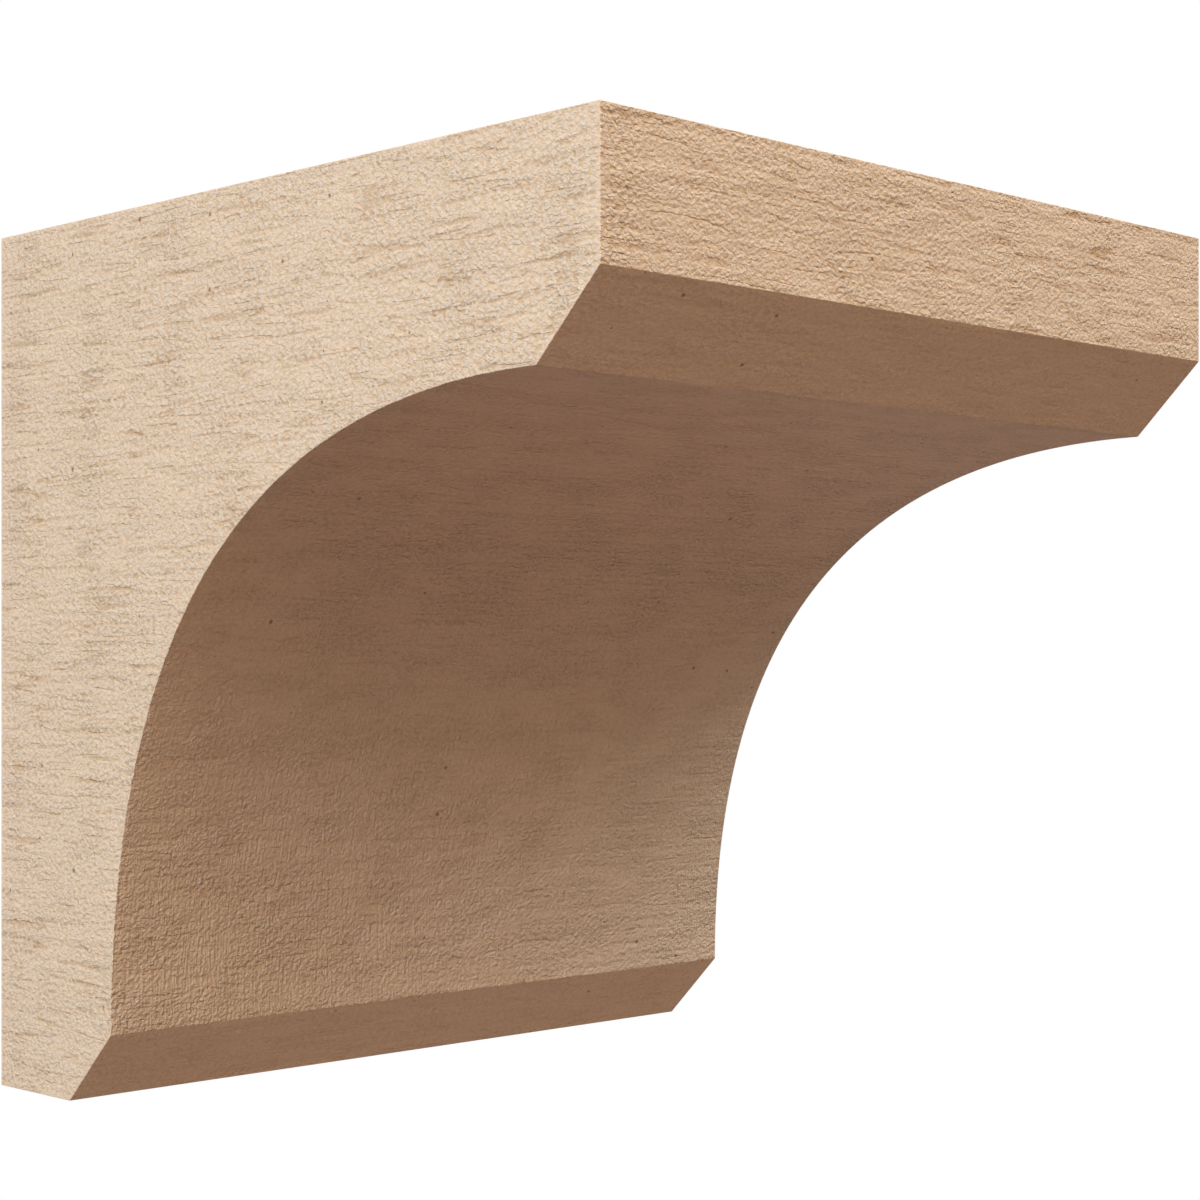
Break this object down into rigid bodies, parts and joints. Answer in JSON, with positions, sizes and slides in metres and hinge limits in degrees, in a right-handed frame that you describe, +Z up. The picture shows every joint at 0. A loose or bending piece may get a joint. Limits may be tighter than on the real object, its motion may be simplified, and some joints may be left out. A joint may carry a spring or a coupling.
{
  "type": "corbel",
  "caption": "Square block corbel with a plain fascia, a chamfered lip and foot, and a deep smooth cove, cast in foam with a rough-sawn wood grain.",
  "frame": {"origin": "centre of the flat back face that goes against the wall", "axes": "+Y into the wall, +Z up, +X to the right of someone facing the fascia; the corbel reaches out towards -Y"},
  "size_m": [0.3048, 0.3048, 0.3048],
  "materials": {
    "cast_foam": "matte"
  },
  "bodies": {
    "root": {"corbel": "cast_foam"}
  },
  "joints": []
}
